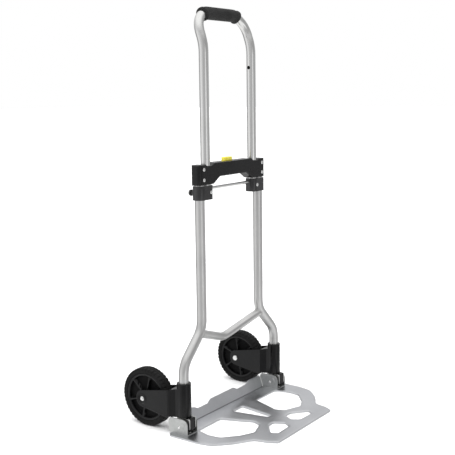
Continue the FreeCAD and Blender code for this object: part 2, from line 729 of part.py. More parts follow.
def wheel_bracket(name, side):
    """Sleeve that turns on the leg, with a fork of two cheeks for the wheel."""
    body = new_body("wheel_bracket_" + name,
                    Placement(Vector(side * size("leg_half"), LEG_Y, 0), Rotation()))
    low, top = size("sleeve_low"), size("sleeve_top")
    hub = size("hub_back")
    hub_z = size("wheel_radius")
    end = 20.0
    outer = size("fork_inner") + size("cheek")
    cheek = outline([(2, low, 0), (30, low, 0), (34, low - 4.5, 2), (hub + end, hub_z - end + 1, end - 1),
                     (hub + end, hub_z + end - 2, end - 1), (2, top - 12, 0)])
    pad(body, "YZ_Plane", cheek, 2 * outer, midplane=True)
    inner = size("fork_inner")
    neck = size("sleeve_od") / 2 - 0.8
    neck_end, flare_end = 15.0, 32.5
    wheel_space = outline([(-inner, hub + 60, 0), (-inner, 38, 3), (-neck, 31, 2), (neck, 31, 2),
                           (inner, 38, 3), (inner, hub + 60, 0)])
    above = top + CLEAR
    pocket(body, "XY_Plane", wheel_space, THROUGH, offset=above)
    for across in (-1, 1):
        flare = outline([(across * neck, -10, 0), (across * neck, neck_end, 0),
                         (across * (outer + 1), flare_end, 0), (across * (outer + 1), -10, 0)])
        pocket(body, "XY_Plane", flare, THROUGH, offset=above)
    pad(body, "XY_Plane", circle(0, 0, size("sleeve_od") / 2), "Sizes.sleeve_top - Sizes.sleeve_low",
        offset=low)
    bore = size("frame_od") / 2 + size("slide_play")
    pocket(body, "XY_Plane", circle(0, 0, bore), THROUGH, offset=above)
    pocket(body, "YZ_Plane", circle(hub, hub_z, size("axle_radius")), THROUGH, midplane=True)
    return body


# ---------------------------------------------------------------- wheels

def hub_place(side):
    return along_x(side * size("leg_half"), HUB_Y, size("wheel_radius"), side)


def axle(name, side):
    """Bolt through the fork: domed head on the outer cheek."""
    face = size("fork_inner") + size("cheek")
    shank, head = size("axle_radius"), 6.2
    profile = outline([(0, -face - 4, 0), (shank, -face - 4, 0), (shank, face, 0), (head, face, 0),
                       (head, face + 1.5, 1), (head - 2.6, face + 3.8, 2), (0, face + 3.8, 0)])
    turned("axle_" + name, profile, hub_place(side))


def axle_nut(name, side):
    """Push-on cap over the axle's inner end."""
    face = size("fork_inner") + size("cheek")
    shank = size("axle_radius")
    profile = outline([(0, -face - 4, 0), (shank, -face - 4, 0), (shank, -face, 0), (8, -face, 0),
                       (8, -face - 2, 0.8), (7, -face - 5, 1.5), (0, -face - 5.5, 0)])
    turned("axle_nut_" + name, profile, hub_place(side))


def wheel_bush(name, side):
    half = size("fork_inner") - 0.5
    profile = outline([(size("axle_radius") + size("play"), -half, 0), (size("bush_radius"), -half, 0),
                       (size("bush_radius"), half, 0), (size("axle_radius") + size("play"), half, 0)])
    turned("wheel_bush_" + name, profile, hub_place(side))


def wheel(name, side):
    """Moulded wheel: hub, thin web, deep rim and six ribs on each face."""
    body = new_body("wheel_" + name, hub_place(side))
    bore = size("bush_radius")
    hub_half = size("fork_inner") - 1.0
    hub_out = 16.0
    web = 2.5
    rim = size("rim_radius")
    rim_in = rim - 6.0
    rim_half = 13.0
    profile = outline([(bore, -hub_half, 0), (hub_out, -hub_half, 1), (hub_out, -web, 0), (rim_in, -web, 0),
                       (rim_in, -rim_half, 1), (rim, -rim_half, 0), (rim, rim_half, 0),
                       (rim_in, rim_half, 1), (rim_in, web, 0), (hub_out, web, 0),
                       (hub_out, hub_half, 1), (bore, hub_half, 0)])
    feature = body.newObject("PartDesign::Revolution", "Revolution")
    feature.Profile = sketch_on(body, "XZ_Plane", profile)
    feature.ReferenceAxis = (feature.Profile[0], ["V_Axis"])
    feature.Angle = 360
    doc.recompute()
    rib = box_outline(-3.0, 3.0, hub_out - 1, rim_in + 1)
    ribs = pad(body, "XY_Plane", rib, 2 * rim_half - 6, midplane=True)
    pattern = body.newObject("PartDesign::PolarPattern", "PolarPattern")
    pattern.Originals = [ribs]
    pattern.Axis = (ribs.Profile[0], ["N_Axis"])
    pattern.Angle = 360
    pattern.Occurrences = 6
    body.Tip = pattern
    doc.recompute()
    return body


def tyre(name, side):
    half = size("tyre_width") / 2
    outer, inner = size("wheel_radius"), size("rim_radius")
    profile = outline([(inner, -half + 2, 1), (outer - 5, -half, 3), (outer, -half + 6, 3),
                       (outer, half - 6, 3), (outer - 5, half, 3), (inner, half - 2, 1)])
    turned("tyre_" + name, profile, hub_place(side))


# ---------------------------------------------------------------- toe plate

PLATE_HALF = size("plate_half")
PLATE_EDGE = [(PLATE_HALF - 12, 28, 5), (PLATE_HALF, 18, 6), (PLATE_HALF, -64, 60),
              (PLATE_HALF - 8, -104, 40), (198, -142, 50), (151, -172, 26), (144, -206, 12),
              (131, -size("plate_reach"), 11)]
SIDE_HOLE = [(84, -21, 7), (179, -21, 12), (190, -62, 30), (186, -95, 14), (150, -127, 30), (112, -146, 14),
             (62, -128, 12), (52, -104, 10), (66, -70, 26)]
FRONT_HOLE = [(30, -150, 5), (52, -151, 6), (92, -182, 7), (82, -198, 6), (28, -196, 6), (15, -177, 5)]
CENTRE_HOLE = [(22, -17, 5), (5, -118, 3)]


def plate_wire(corners, height):
    curves = outline([(u, v + LEG_Y, radius) for u, v, radius in corners])
    wire = Part.Wire([curve.toShape() for curve in curves])
    wire.translate(Vector(0, 0, height))
    return wire


def prism(wire, height):
    return Part.Face(wire).extrude(Vector(0, 0, height))


def toe_plate():
    """Pressed sheet with cut-outs, turned-down rims and a rear flange with two shallow dips."""
    rim = size("plate_rim")
    skin_low = size("plate_top") - size("plate_skin")
    edge = plate_wire(both_halves(PLATE_EDGE), 0)
    plate = prism(edge, size("plate_top"))
    hollow = prism(edge.makeOffset2D(-rim), skin_low)
    holes = [both_halves(CENTRE_HOLE)]
    for _, side in SIDES:
        holes.append(mirrored(SIDE_HOLE, side))
        holes.append(mirrored(FRONT_HOLE, side))
    for corners in holes:
        wire = plate_wire(corners, 0)
        plate = plate.cut(prism(wire, size("plate_top")))
        hollow = hollow.cut(prism(wire.makeOffset2D(rim), skin_low))
    plate = plate.cut(hollow)
    for _, side in SIDES:
        for y in RIVET_Y:
            hole = cylinder(RIVET_RADIUS, size("plate_top"), Vector(side * size("leg_half"), LEG_Y + y, 0),
                            Vector(0, 0, 1))
            plate = plate.cut(hole)
    return plate.fuse(rear_flange()).removeSplitter()


def rear_flange():
    """Wall along the plate's rear edge, leaning back, with two shallow dips in its top edge."""
    fold_y = LEG_Y + size("flange_back")
    top_y = fold_y + size("flange_lean")
    low, top = size("plate_top") - size("plate_skin"), size("flange_top")
    skin = size("flange_skin")
    half = size("flange_half")
    section = Part.makePolygon([Vector(-half, fold_y - skin, low), Vector(-half, fold_y, low),
                                Vector(-half, top_y, top), Vector(-half, top_y - skin, top),
                                Vector(-half, fold_y - skin, low)])
    wall = Part.Face(section).extrude(Vector(2 * half, 0, 0))
    dip = top - size("flange_dip")
    for _, side in SIDES:
        corners = mirrored([(50, top + CLEAR, 0), (50, top, 3), (71, dip, 8), (106, dip, 8), (132, top, 3),
                            (132, top + CLEAR, 0)], side)
        wire = Part.Wire([curve.toShape() for curve in outline(corners)])
        notch = prism(wire, THROUGH)
        notch.rotate(Vector(0, 0, 0), Vector(1, 0, 0), 90)
        notch.translate(Vector(0, THROUGH, 0))
        wall = wall.cut(notch)
    return wall


# ---------------------------------------------------------------- build and export

frame_brace()
crossbar_shell("crossbar_front", True)
crossbar_shell("crossbar_rear", False)
crossbar_screws()
release_button()
button_springs()
handle_tube()
handle_grip()
slider_rod()
slider_screws()
shape_node("toe_plate", toe_plate())
bracket_rivets()
for side_name, side_sign in SIDES:
    frame_tube(side_name, side_sign)
    lock_pin(side_name, side_sign)
    slider_block(side_name, side_sign)
    cord_knob(side_name, side_sign)
    hinge_block(side_name, side_sign)
    foot_plates(side_name, side_sign)
    hinge_bracket(side_name, side_sign)
    hinge_pin(side_name, side_sign)
    wheel_bracket(side_name, side_sign)
    axle(side_name, side_sign)
    axle_nut(side_name, side_sign)
    wheel_bush(side_name, side_sign)
    wheel(side_name, side_sign)
    tyre(side_name, side_sign)
doc.recompute()

for item in doc.Objects:
    if "Invalid" in item.State or "Error" in item.State:
        raise RuntimeError("failed feature: " + item.Label)
for node in NODES:
    if node.Shape.isNull() or not node.Shape.isValid():
        raise RuntimeError("bad shape: " + node.Label)

os.makedirs("parts", exist_ok=True)
for node in NODES:
    node.Shape.exportStep("parts/%s.step" % node.Label)
    box = node.Shape.BoundBox
    print("%-22s solids %d  volume %10.1f  x %7.1f %7.1f  y %7.1f %7.1f  z %7.1f %7.1f" % (
        node.Label, len(node.Shape.Solids), node.Shape.Volume,
        box.XMin, box.XMax, box.YMin, box.YMax, box.ZMin, box.ZMax))
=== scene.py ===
import math
import bpy
from mathutils import Euler, Matrix, Vector
from mathutils.bvhtree import BVHTree
from mathutils.geometry import delaunay_2d_cdt
from mathutils.kdtree import KDTree


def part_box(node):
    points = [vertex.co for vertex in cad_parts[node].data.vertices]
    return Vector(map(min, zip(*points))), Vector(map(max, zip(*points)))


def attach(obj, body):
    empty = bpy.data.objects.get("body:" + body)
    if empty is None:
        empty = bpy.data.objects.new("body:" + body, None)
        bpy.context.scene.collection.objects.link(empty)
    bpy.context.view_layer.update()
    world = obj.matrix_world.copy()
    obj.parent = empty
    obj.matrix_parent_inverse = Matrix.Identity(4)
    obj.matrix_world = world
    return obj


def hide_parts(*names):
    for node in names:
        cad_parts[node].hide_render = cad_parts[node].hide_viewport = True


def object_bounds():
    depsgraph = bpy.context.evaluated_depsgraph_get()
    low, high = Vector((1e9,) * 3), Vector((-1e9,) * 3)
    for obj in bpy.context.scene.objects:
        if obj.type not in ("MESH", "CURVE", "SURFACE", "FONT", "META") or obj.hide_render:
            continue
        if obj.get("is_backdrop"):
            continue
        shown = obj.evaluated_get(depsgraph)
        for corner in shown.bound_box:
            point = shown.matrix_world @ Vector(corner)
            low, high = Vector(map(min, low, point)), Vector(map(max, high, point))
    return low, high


# Looks of the folding luggage cart, in metres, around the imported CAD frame.

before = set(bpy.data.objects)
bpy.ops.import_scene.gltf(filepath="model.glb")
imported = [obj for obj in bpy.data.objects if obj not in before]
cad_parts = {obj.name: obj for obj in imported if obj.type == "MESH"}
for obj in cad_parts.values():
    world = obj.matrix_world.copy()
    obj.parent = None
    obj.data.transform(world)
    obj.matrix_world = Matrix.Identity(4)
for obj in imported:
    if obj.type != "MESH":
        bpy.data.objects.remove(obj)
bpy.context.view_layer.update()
MM = 0.001
TURN = 2 * math.pi
SIDES = (("left", -1), ("right", 1))
TUBE_RADIUS = 12 * MM  # of the handle tube
LOCK_HOLE_HEIGHT = (651 + 258) * MM  # of the lower lock hole, plus the handle's travel
FLANGE_HALF = 184 * MM  # half the width of the toe plate's rear flange
PLACES = 6  # decimals at which corners that meet are taken as one
FLAT_GAP = 0.05 * MM  # how far the corners of a flat face may lie from its plane
MIX_A, MIX_B, MIX_RESULT = 6, 7, 2  # colour sockets of a Mix node
NOISE_SPAN = (0.3, 0.7)  # where most values of a noise texture lie


def smooth(value, low, high):
    """0 below low, 1 above high, and a soft step between them."""
    t = min(max((value - low) / (high - low), 0.0), 1.0)
    return t * t * (3 - 2 * t)


# ---------------------------------------------------------------- materials

class Finish:
    """A Principled material whose colour, roughness and bump come from noise in object space."""

    def __init__(self, name, metallic=0.0, **sockets):
        self.material = bpy.data.materials.new(name)
        self.material.use_nodes = True
        self.tree = self.material.node_tree
        self.shader = self.tree.nodes["Principled BSDF"]
        self.shader.inputs["Metallic"].default_value = metallic
        for socket, value in sockets.items():
            self.shader.inputs[socket.replace("_", " ")].default_value = value
        self.place = self.add("ShaderNodeTexCoord").outputs["Object"]
        self.normal = None

    def add(self, kind, **values):
        """New node, with each value set on the socket or else the property of that name."""
        made = self.tree.nodes.new(kind)
        for key, value in values.items():
            if key in made.inputs:
                made.inputs[key].default_value = value
            else:
                setattr(made, key, value)
        return made

    def link(self, source, target):
        self.tree.links.new(source, target)

    def noise(self, scale, detail, stretch=(1, 1, 1)):
        mapping = self.add("ShaderNodeMapping", Scale=stretch)
        self.link(self.place, mapping.inputs["Vector"])
        texture = self.add("ShaderNodeTexNoise", Scale=scale, Detail=detail, Roughness=0.55)
        self.link(mapping.outputs["Vector"], texture.inputs["Vector"])
        return texture.outputs["Fac"]

    def ranged(self, source, low, high, out_low, out_high):
        made = self.add("ShaderNodeMapRange")
        self.link(source, made.inputs["Value"])
        for socket, value in (("From Min", low), ("From Max", high), ("To Min", out_low), ("To Max", out_high)):
            made.inputs[socket].default_value = value
        return made.outputs["Result"]

    def mixed(self, factor, first, second):
        made = self.add("ShaderNodeMix", data_type="RGBA")
        self.link(factor, made.inputs["Factor"])
        for socket, value in ((made.inputs[MIX_A], first), (made.inputs[MIX_B], second)):
            if isinstance(value, tuple):
                socket.default_value = (*value, 1)
            else:
                self.link(value, socket)
        return made.outputs[MIX_RESULT]

    def product(self, first, second):
        made = self.add("ShaderNodeMath", operation="MULTIPLY")
        self.link(first, made.inputs[0])
        self.link(second, made.inputs[1])
        return made.outputs[0]

    def vector(self, operation, first, second=None):
        """Vector maths on a socket and, where it takes two, another socket or a constant."""
        made = self.add("ShaderNodeVectorMath", operation=operation)
        self.link(first, made.inputs[0])
        if isinstance(second, tuple):
            made.inputs[1].default_value = second
        elif second is not None:
            self.link(second, made.inputs[1])
        return made.outputs["Value" if operation in ("DOT_PRODUCT", "LENGTH") else "Vector"]

    def split(self, source):
        made = self.add("ShaderNodeSeparateXYZ")
        self.link(source, made.inputs["Vector"])
        return made.outputs

    def in_box(self, middle, half_size, soft):
        """1 inside a soft-edged box in object space."""
        away = self.split(self.vector("ABSOLUTE", self.vector("SUBTRACT", self.place, middle)))
        shares = [self.ranged(away[k], half_size[k], half_size[k] + soft, 1.0, 0.0) for k in range(3)]
        return self.product(self.product(shares[0], shares[1]), shares[2])

    def in_bores(self, middle, radius, reach):
        """1 near an upright axis, and near its mirror image in X, over a short height."""
        side_soft, end_soft = 0.05 * MM, 1 * MM
        away = self.vector("SUBTRACT", self.vector("ABSOLUTE", self.place), middle)
        distance = self.vector("LENGTH", self.vector("MULTIPLY", away, (1, 1, 0)))
        height = self.split(self.vector("ABSOLUTE", away))["Z"]
        return self.product(self.ranged(distance, radius, radius + side_soft, 1.0, 0.0),
                            self.ranged(height, reach, reach + end_soft, 1.0, 0.0))

    def edges(self, radius, strength):
        """The strength on sharp edges, 0 on flat areas; also rounds the shading of the edges."""
        flat_match, edge_match = 0.98, 0.75
        self.normal = self.add("ShaderNodeBevel", samples=6, Radius=radius).outputs["Normal"]
        flat = self.add("ShaderNodeNewGeometry").outputs["Normal"]
        return self.ranged(self.vector("DOT_PRODUCT", self.normal, flat), flat_match, edge_match, 0.0, strength)

    def colour(self, source):
        self.link(source, self.shader.inputs["Base Color"])

    def roughness(self, source, low, high):
        self.link(self.ranged(source, *NOISE_SPAN, low, high), self.shader.inputs["Roughness"])

    def bump(self, source, depth):
        """Relief from a noise, on top of the rounded edges where there are any."""
        made = self.add("ShaderNodeBump", Distance=depth, Strength=1.0)
        self.link(source, made.inputs["Height"])
        if self.normal is not None:
            self.link(self.normal, made.inputs["Normal"])
        self.link(made.outputs["Normal"], self.shader.inputs["Normal"])


def scaled(colour, share):
    return tuple(c * share for c in colour)


def metal(name, dark, light, rough, grain=420, stretch=(1, 1, 0.03), bump=0.02, worn=None, painted_shade=None):
    """Plated or satin metal: drawn lines, blotchy gloss, brighter worn edges, and painted shade where a mask
    says.
    """
    line_span, line_strength, line_shade = (0.35, 0.75), 0.35, 0.82
    made = Finish(name, metallic=1.0)
    blotch = made.noise(scale=9, detail=4)
    lines = made.noise(grain, 3, stretch)
    tone = made.mixed(made.ranged(blotch, *NOISE_SPAN, 0, 1), dark, light)
    tone = made.mixed(made.ranged(lines, *line_span, 0.0, line_strength), tone, scaled(dark, line_shade))
    if worn:
        tone = made.mixed(made.edges(radius=0.4 * MM, strength=0.6), tone, worn)
    # Darken the colour where the mask says: painted shade.
    if painted_shade:
        mask, shade = painted_shade
        tone = made.mixed(mask(made), tone, shade)
    made.colour(tone)
    made.roughness(made.noise(scale=26, detail=4), *rough)
    made.bump(lines, bump * MM)
    return made.material


def moulding(name, dark, light, rough, grain=1500, bump=0.05, worn=None, **sockets):
    """Moulded plastic or rubber: spark-eroded grain, faint flow marks, paler rubbed edges."""
    patch_span, patch_strength, rubbed_shade = (0.35, 0.65), (0.2, 1.0), 2.0
    made = Finish(name, **sockets)
    blotch = made.noise(scale=14, detail=5)
    pits = made.noise(grain, detail=2)
    tone = made.mixed(made.ranged(blotch, *NOISE_SPAN, 0, 1), dark, light)
    patches = made.ranged(made.noise(scale=60, detail=4), *patch_span, *patch_strength)
    rubbed = made.product(made.edges(radius=0.5 * MM, strength=0.7), patches)
    made.colour(made.mixed(rubbed, tone, worn or scaled(light, rubbed_shade)))
    made.roughness(made.noise(scale=40, detail=3), *rough)
    made.bump(pits, bump * MM)
    return made.material


def fold_painted_shade(made):
    """Narrow dark line painted where the toe plate's rear flange is folded up: painted shade in the crease."""
    fold_y, fold_z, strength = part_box("toe_plate")[1].y - 14 * MM, 4.2 * MM, 0.72
    line = made.in_box((0.0, fold_y, fold_z), half_size=(FLANGE_HALF, 1.4 * MM, 1.5 * MM), soft=0.8 * MM)
    return made.ranged(line, 0.0, 1.0, 0.0, strength)


def lock_bore_painted_shade(made):
    """Inside of the handle tube's legs, beside its upper lock holes, where painted shade darkens the bore."""
    low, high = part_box("handle_tube")
    middle = (high.x - TUBE_RADIUS, low.y + TUBE_RADIUS, LOCK_HOLE_HEIGHT)
    return made.in_bores(middle, radius=TUBE_RADIUS - 0.6 * MM, reach=12 * MM)


# Colours run from dark to light, and roughness from low to high.
FINISHES = {
    "steel_tube": metal("steel_tube", (0.56, 0.56, 0.555), (0.66, 0.66, 0.65), (0.3, 0.42)),
    "bright_steel": metal("bright_steel", (0.72, 0.72, 0.71), (0.84, 0.84, 0.83), (0.16, 0.28),
                          worn=(0.88, 0.88, 0.87)),
    "zinc_steel": metal("zinc_steel", (0.42, 0.43, 0.42), (0.56, 0.57, 0.56), (0.34, 0.5), grain=160,
                        stretch=(1, 1, 1), worn=(0.78, 0.78, 0.77)),
    # The plate is painted dark along the flange's fold: painted shade in the crease.
    "plate_aluminium": metal("plate_aluminium", (0.575, 0.583, 0.6), (0.68, 0.69, 0.71), (0.28, 0.4),
                             grain=900, stretch=(1, 1, 1), bump=0.03, worn=(0.8, 0.8, 0.8),
                             painted_shade=(fold_painted_shade, (0.2, 0.2, 0.21))),
    "black_plastic": moulding("black_plastic", (0.002, 0.002, 0.0022), (0.005, 0.005, 0.0053), (0.18, 0.28),
                              Specular_IOR_Level=0.25),
    "yellow_plastic": moulding("yellow_plastic", (0.90, 0.76, 0.06), (0.95, 0.84, 0.10), (0.3, 0.42),
                               worn=(0.97, 0.9, 0.35)),
    "grip_rubber": moulding("grip_rubber", (0.014, 0.014, 0.014), (0.026, 0.026, 0.026), (0.62, 0.8),
                            grain=900, bump=0.12, Specular_IOR_Level=0.22),
    "nylon": moulding("nylon", (0.05, 0.05, 0.05), (0.09, 0.09, 0.09), (0.4, 0.55)),
    "tyre": moulding("tyre", (0.003, 0.003, 0.003), (0.008, 0.008, 0.008), (0.55, 0.75), grain=700, bump=0.1,
                     Specular_IOR_Level=0.17),
}
# A darker black than black_plastic, its edges kept dark too: painted shade for the pockets between the wheel's
# ribs.
SHADED_POCKET = moulding("pocket_plastic_painted_shade", (0.0014, 0.0014, 0.0015), (0.0035, 0.0035, 0.0037), (0.6, 0.75),
                  worn=(0.005, 0.005, 0.005), Specular_IOR_Level=0.13)
# The polished handle tube is painted near-black inside, beside its lock holes: painted shade in the bores.
POLISHED = metal("steel_polished", (0.69, 0.69, 0.68), (0.75, 0.75, 0.74), (0.16, 0.22), bump=0.004,
                 painted_shade=(lock_bore_painted_shade, (0.01, 0.01, 0.01)))
GLOSSY = moulding("black_plastic_glossy", (0.005, 0.005, 0.0053), (0.01, 0.01, 0.0105), (0.12, 0.2),
                  bump=0.02, Specular_IOR_Level=0.6)

# Nodes that look brighter, duller or glossier in the photograph than the rest of their slot.
SPECIAL = {"handle_tube": POLISHED}
for name, _ in SIDES:
    SPECIAL["slider_block_" + name] = GLOSSY
    SPECIAL["cord_knob_" + name] = GLOSSY
    # The foot plates get the brighter steel as painted light, lifting the shade that the ears cast on them.
    SPECIAL["foot_plates_" + name] = FINISHES["bright_steel"]
    SPECIAL["hinge_pin_" + name] = FINISHES["zinc_steel"]
ROUNDED_SLOTS = ("black_plastic", "yellow_plastic", "zinc_steel")


def modifier(item, kind, **settings):
    made = item.modifiers.new(kind.title(), kind)
    for key, value in settings.items():
        setattr(made, key, value)


def dress_cad():
    """Give every CAD node its finish, and round the sharp edges of moulded and pressed ones."""
    for name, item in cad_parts.items():
        slot = [m.name for m in item.data.materials if m][0].split(".")[0]
        item.data.materials.clear()
        item.data.materials.append(SPECIAL.get(name, FINISHES[slot]))
        if slot in ROUNDED_SLOTS:
            modifier(item, "WELD", merge_threshold=0.01 * MM)
            modifier(item, "BEVEL", width=0.6 * MM, segments=3, limit_method="ANGLE",
                     angle_limit=math.radians(38), harden_normals=True)


# ---------------------------------------------------------------- pieces

def piece(name, verts, faces, slot, body, replaces=()):
    """Smooth mesh object from world coordinates that rides on a body."""
    mesh = bpy.data.meshes.new(name)
    mesh.from_pydata([tuple(v) for v in verts], [], faces)
    mesh.validate()
    made = bpy.data.objects.new(name, mesh)
    bpy.context.scene.collection.objects.link(made)
    mesh.materials.append(FINISHES[slot])
    mesh.polygons.foreach_set("use_smooth", [True] * len(mesh.polygons))
    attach(made, body)
    if replaces:
        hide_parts(*replaces)
    return made


def parts_of(node):
    """Box of each separate solid of a CAD node, as pairs of corners."""
    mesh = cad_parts[node].data
    place = [tuple(round(c, PLACES) for c in v.co) for v in mesh.vertices]
    root = {p: p for p in place}

    def find(p):
        while root[p] != p:
            root[p] = root[root[p]]
            p = root[p]
        return p

    for edge in mesh.edges:
        a, b = (find(place[v]) for v in edge.vertices)
        root[a] = b
    groups = {}
    for p in root:
        groups.setdefault(find(p), []).append(p)
    return [(Vector(map(min, zip(*group))), Vector(map(max, zip(*group)))) for group in groups.values()]


def grid_faces(rows, columns, wrap_rows=False, wrap_columns=False):
    """Quads of a rows x columns grid of vertices, either way wrapped round."""
    faces = []
    for i in range(rows if wrap_rows else rows - 1):
        for j in range(columns if wrap_columns else columns - 1):
            a, b = i * columns + j, i * columns + (j + 1) % columns
            c, d = ((i + 1) % rows) * columns + (j + 1) % columns, ((i + 1) % rows) * columns + j
            faces.append((a, b, c, d))
    return faces


def circle(count):
    """The angles of a full turn in equal steps."""
    return [TURN * k / count for k in range(count)]


def turned_piece(name, profile, count, centre, side, slot, body, replaces=(), shape=None):
    """Closed profile of (axial, radius) points turned about X through centre; shape may move each point."""
    verts = []
    for angle in circle(count):
        for axial, radius in profile:
            a, r = shape(axial, radius, angle) if shape else (axial, radius)
            verts.append(centre + Vector((side * a, r * math.cos(angle), r * math.sin(angle))))
    faces = grid_faces(count, len(profile), wrap_rows=True, wrap_columns=True)
    return piece(name, verts, faces, slot, body, replaces)


def swept(stations, count, radius_at):
    """Vertices of a closed section swept along stations of (place, first axis, second axis)."""
    verts = []
    for index, (place, across, over) in enumerate(stations):
        for angle in circle(count):
            radius = radius_at(index, angle)
            verts.append(place + across * (radius * math.cos(angle)) + over * (radius * math.sin(angle)))
    return verts


def steps_round(loop):
    """Pairs of neighbours in a closed loop."""
    return zip(loop, loop[1:] + loop[:1])


def softened(loop, passes):
    """The closed loop with every point drawn towards its neighbours."""
    for _ in range(passes):
        loop = [(loop[k - 1] + loop[k] * 2 + loop[(k + 1) % len(loop)]) / 4 for k in range(len(loop))]
    return loop


def resampled(loop, step, passes):
    """The closed loop with points about a step apart, its corners kept soft."""
    fewest = 12
    lengths = [(b - a).length for a, b in steps_round(loop)]
    total = sum(lengths)
    count = max(fewest, int(total / step))
    made, index, walked = [], 0, 0.0
    for k in range(count):
        target = total * k / count
        while walked + lengths[index] < target:
            walked += lengths[index]
            index += 1
        a, b = loop[index], loop[(index + 1) % len(loop)]
        made.append(a.lerp(b, (target - walked) / lengths[index]))
    return softened(made, passes)


def followed(ahead):
    """Loops found by following every corner to the next one."""
    loops = []
    while ahead:
        loop, here = [], next(iter(ahead))
        while here in ahead:
            loop.append(here)
            here = ahead.pop(here)
        loops.append(loop)
    return loops


# ---------------------------------------------------------------- wheels

TYRE_INNER, TYRE_HALF = 62 * MM, 15 * MM
FIRST_RIB = {"left": math.radians(103), "right": math.radians(82)}


def tyre_piece(name, side, centre):
    """Tyre with a centre rib, staggered shoulder lugs and a bead on each wall."""
    lugs, steps_per_lug = 44, 10
    stagger, skew = 0.5, 0.12
    lug_depth, line_depth, line_at = 2.2 * MM, 1.4 * MM, 0.27
    bead_height, inwards_share, wall_share = 5 * MM, 0.6, 0.5
    gap_span, shoulder_span, line_span, wall_span = (0.36, 0.43), (0.30, 0.38), (0.04, 0.09), (0.8, 1.0)
    outer_span = (TYRE_INNER + 6 * MM, TYRE_INNER + 9 * MM)

    def tread(axial, radius, angle):
        if radius < TYRE_INNER + bead_height:
            return axial, radius
        across = axial / TYRE_HALF
        phase = lugs * angle / TURN + (stagger if across > 0 else 0.0) + skew * across
        gap = smooth(abs((phase % 1.0) - 0.5), *gap_span)
        shoulder = smooth(abs(across), *shoulder_span)
        outer = smooth(radius, *outer_span)
        wall = smooth(abs(across), *wall_span)
        cut = lug_depth * gap * shoulder * outer
        line = line_depth * (1 - smooth(abs(abs(across) - line_at), *line_span)) * outer
        inwards = math.copysign(cut * wall * inwards_share, axial)
        return axial - inwards, radius - cut * (1 - wall_share * wall) - line

    outline = [(-12.0, 62.0), (-13.6, 62.6), (-14.2, 64.0), (-13.9, 65.6), (-14.4, 67.0), (-14.9, 69.0),
               (-15.0, 71.0), (-14.6, 72.8), (-13.6, 74.2), (-12.0, 75.1), (-10.0, 75.6), (-8.0, 75.8),
               (-6.2, 75.9), (-5.2, 75.95), (-4.6, 75.97), (-4.05, 75.98), (-3.4, 75.99), (-2.6, 76.0)]
    outline += [(0.0, 76.0)] + [(-a, r) for a, r in reversed(outline)]
    profile = [(a * MM, r * MM) for a, r in outline]
    turned_piece("tyre_%s_tread" % name, profile, lugs * steps_per_lug, centre, side, "tyre",
                 "road_wheel_" + name, ["tyre_" + name], tread)


def wheel_piece(name, side, centre):
    """Moulded wheel: stepped rim, six deep drafted ribs on each face, stepped hub."""
    spokes, steps = 6, 360
    bore, hub, rim_in, rim_out = 8 * MM, 16 * MM, 56 * MM, 62 * MM
    hub_face, rib_face, rim_face, web = 20 * MM, 12 * MM, 13 * MM, 1.5 * MM
    rib_half, rib_draft, fillet_width, fillet_depth = 1.8 * MM, 1.0 * MM, 5 * MM, 1.2 * MM
    dish_width, dish_depth, hub_chamfer, rim_chamfer = 14 * MM, 0.42 * MM, 0.9 * MM, 1.0 * MM
    lip, recess, collar_at = 1.2 * MM, 1.1 * MM, 11.5 * MM
    fine_step, coarse_step = 0.5 * MM, 1.6 * MM

    def face(which, radius, angle):
        """Point of the outer (1) or inner (-1) face, from the wheel's middle plane."""
        sector = ((angle - FIRST_RIB[name]) * spokes / TURN + 0.5) % 1.0 - 0.5
        off = abs(sector) * TURN / spokes * radius
        rib_part = 1 - smooth(off, rib_half, rib_half + rib_draft)
        hub_part = 1 - smooth(radius, hub - 0.4 * MM, hub + 1.6 * MM)
        rim_part = smooth(radius, rim_in - 1.6 * MM, rim_in)
        fillet = fillet_depth * (1 - smooth(off, rib_half, rib_half + fillet_width))
        dish = dish_depth * smooth(radius, hub, hub + dish_width)
        level = max(web + fillet + dish, rib_part * rib_face, hub_part * hub_face)
        if hub_part > 0.5:
            level -= hub_chamfer * smooth(radius, hub - 1.6 * MM, hub - 0.4 * MM)
            if radius <= hub - 2 * MM:
                level -= recess * (1 - smooth(abs(radius - collar_at), 0.2 * MM, 0.9 * MM))
        step = lip * (1 - smooth(radius, rim_in + 1.2 * MM, rim_in + 2.6 * MM))
        chamfer = rim_chamfer * smooth(radius, rim_out - rim_chamfer, rim_out)
        return which * (level * (1 - rim_part) + (rim_face - step - chamfer) * rim_part), radius

    radii = [bore]
    while radii[-1] < rim_out - 0.001 * MM:
        fine = radii[-1] < hub + 2.4 * MM or radii[-1] > rim_in - 2.2 * MM
        radii.append(min(radii[-1] + (fine_step if fine else coarse_step), rim_out))
    profile = [(1, radius) for radius in radii] + [(-1, radius) for radius in reversed(radii)]
    turned_piece("wheel_%s_moulded" % name, profile, steps, centre, side, "black_plastic",
                 "road_wheel_" + name, ["wheel_" + name], face)


def pocket_floor(name, centre):
    """Dull web that closes the wheel between its ribs, a little dished, in a darker black that is painted shade
    in the pockets.
    """
    outline = [(3.4, 14.0), (4.0, 15.5), (4.1, 24.0), (3.9, 36.0), (4.1, 48.0), (4.6, 55.4), (3.6, 57.5)]
    profile = [(a * MM, r * MM) for a, r in outline] + [(-a * MM, r * MM) for a, r in reversed(outline)]
    steps = 180
    made = turned_piece("wheel_%s_web" % name, profile, steps, centre, 1, "black_plastic",
                        "road_wheel_" + name)
    # Painted shade: the web takes the darker pocket black.
    made.data.materials[0] = SHADED_POCKET


for name, side in SIDES:
    low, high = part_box("wheel_" + name)
    centre = (low + high) / 2
    tyre_piece(name, side, centre)
    wheel_piece(name, side, centre)
    pocket_floor(name, centre)


# ---------------------------------------------------------------- toe plate

